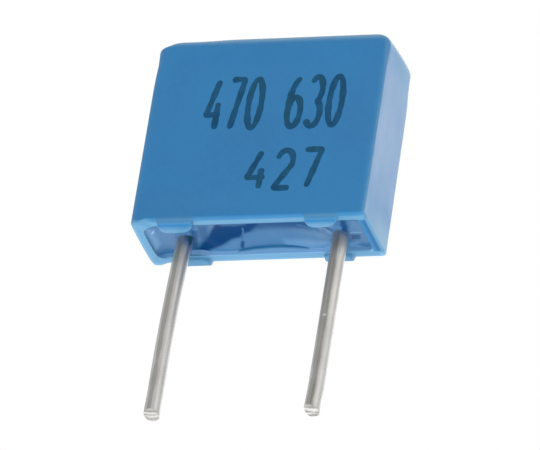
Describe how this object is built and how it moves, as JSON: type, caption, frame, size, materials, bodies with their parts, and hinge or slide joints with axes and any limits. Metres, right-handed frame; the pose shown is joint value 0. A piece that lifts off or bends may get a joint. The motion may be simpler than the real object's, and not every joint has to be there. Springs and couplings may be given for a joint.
{
  "type": "film capacitor",
  "caption": "Box-shaped film capacitor for a printed circuit board: a moulded case with rounded edges and low stand-offs, potted with resin, with straight parallel wire leads.",
  "frame": {"origin": "on the board that the stand-offs rest on, midway between the leads", "axes": "+Z away from the board, +X along the row of leads from the left lead to the right one, -Y the marked front face"},
  "size_m": [0.0072, 0.0024, 0.0123],
  "materials": {
    "case_plastic": "smooth moulded, satin",
    "resin": "cast, glossy",
    "metallised_film": "bright metallised",
    "blank_film": "clear film, milky in layers",
    "sprayed_metal": "rough, sprayed",
    "tinned_wire": "tinned, drawn"
  },
  "bodies": {
    "root": {"case": "case_plastic", "resin_seal": "resin", "left_film_set": "metallised_film", "right_film_set": "metallised_film", "front_cover_film": "blank_film", "back_cover_film": "blank_film", "left_metal_layer": "sprayed_metal", "right_metal_layer": "sprayed_metal", "left_lead": "tinned_wire", "right_lead": "tinned_wire"}
  },
  "joints": []
}
